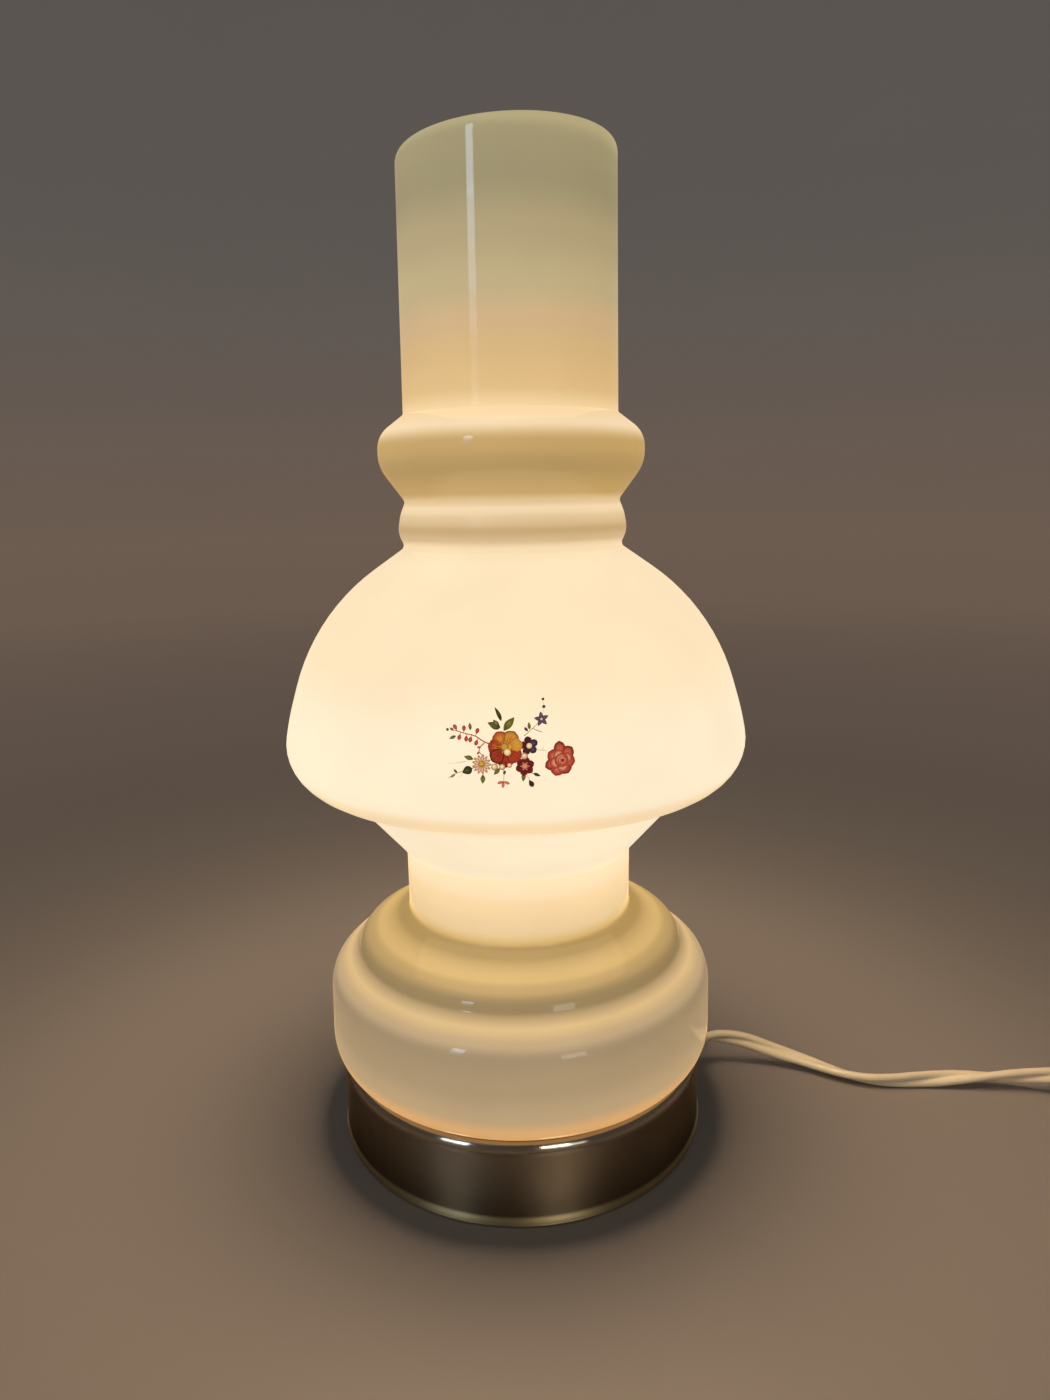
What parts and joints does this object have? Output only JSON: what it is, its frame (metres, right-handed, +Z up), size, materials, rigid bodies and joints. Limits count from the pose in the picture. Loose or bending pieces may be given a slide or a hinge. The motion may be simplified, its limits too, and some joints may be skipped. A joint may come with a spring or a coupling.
{
  "type": "table lamp",
  "caption": "Oil-lamp shaped table lamp: opal glass shade with chimney lifted onto an opal glass body, plated metal foot, twin flex with rocker switch and plug.",
  "frame": {"origin": "on the table under the lamp's axis", "axes": "+Z up along the lamp's axis; the cord leaves the foot towards +X; -Y is the side seen in the picture"},
  "size_m": [0.4327, 0.1642, 0.3026],
  "materials": {
    "foot_metal": "polished plated sheet, slightly aged",
    "steel": "zinc plated",
    "felt": "felt",
    "brass": "satin",
    "rubber": "matt",
    "opal_glass": "glossy opal glass, lit from inside",
    "cream_plastic": "moulded, satin",
    "cream_flex": "twin flex sheath, satin",
    "dark_plastic": "moulded",
    "porcelain": "glazed",
    "black_glass": "vitrite",
    "bulb_metal": "rolled",
    "bulb_glass": "frosted",
    "clear_glass": "clear",
    "filament": "glowing",
    "tie_plastic": "matt",
    "pin_metal": "nickel plated"
  },
  "bodies": {
    "root": {"base_ring": "foot_metal", "base_plate": "steel", "felt_ring": "felt", "threaded_tube": "brass", "tube_nuts": "steel", "tube_washer": "steel", "glass_gasket": "rubber", "lower_glass": "opal_glass", "neck_glass": "opal_glass", "clamp_bar": "steel", "clamp_pads": "rubber", "cord_bushing": "cream_plastic", "inner_flex": "cream_flex", "holder_cap": "dark_plastic", "holder_insert": "porcelain", "holder_body": "dark_plastic", "screw_shell": "brass", "centre_contact": "brass", "terminal_screws": "brass", "cord_lead": "cream_flex", "switch_lower": "cream_plastic", "switch_upper": "cream_plastic", "switch_contacts": "brass", "switch_screws": "steel", "switch_grommets": "cream_plastic", "cord_return": "cream_flex", "cord_coil": "cream_flex", "coil_tie": "tie_plastic", "plug_lead": "cream_flex", "plug_body": "cream_plastic", "plug_pins": "pin_metal"},
    "shade": {"shade": "opal_glass"},
    "bulb_carrier": {"bulb_contact": "steel"},
    "bulb": {"bulb_insulator": "black_glass", "bulb_cap": "bulb_metal", "bulb_glass": "bulb_glass", "bulb_stem": "clear_glass", "bulb_wires": "steel", "bulb_filament": "filament"},
    "rocker": {"switch_rocker": "cream_plastic"}
  },
  "joints": [
    {"name": "shade_lift", "type": "slide", "parent": "root", "child": "shade", "axis": [0, 0, 1], "range_m": [0, 0.075]},
    {"name": "bulb_rise", "type": "slide", "parent": "root", "child": "bulb_carrier", "axis": [0, 0, 1], "range_m": [0, 0.0142]},
    {"name": "bulb_turn", "type": "hinge", "parent": "bulb_carrier", "child": "bulb", "pos_m": [0, 0, 0.09], "axis": [0, 0, 1], "range_deg": [0, 1800]},
    {"name": "switch_rocker", "type": "hinge", "parent": "root", "child": "rocker", "pos_m": [0.249, -0.003, 0.013], "axis": [0, -1, 0], "range_deg": [0, 14]}
  ],
  "couplings": [
    {"joint": "bulb_rise", "follows": "bulb_turn", "m_per_rad": 0.00044914}
  ]
}
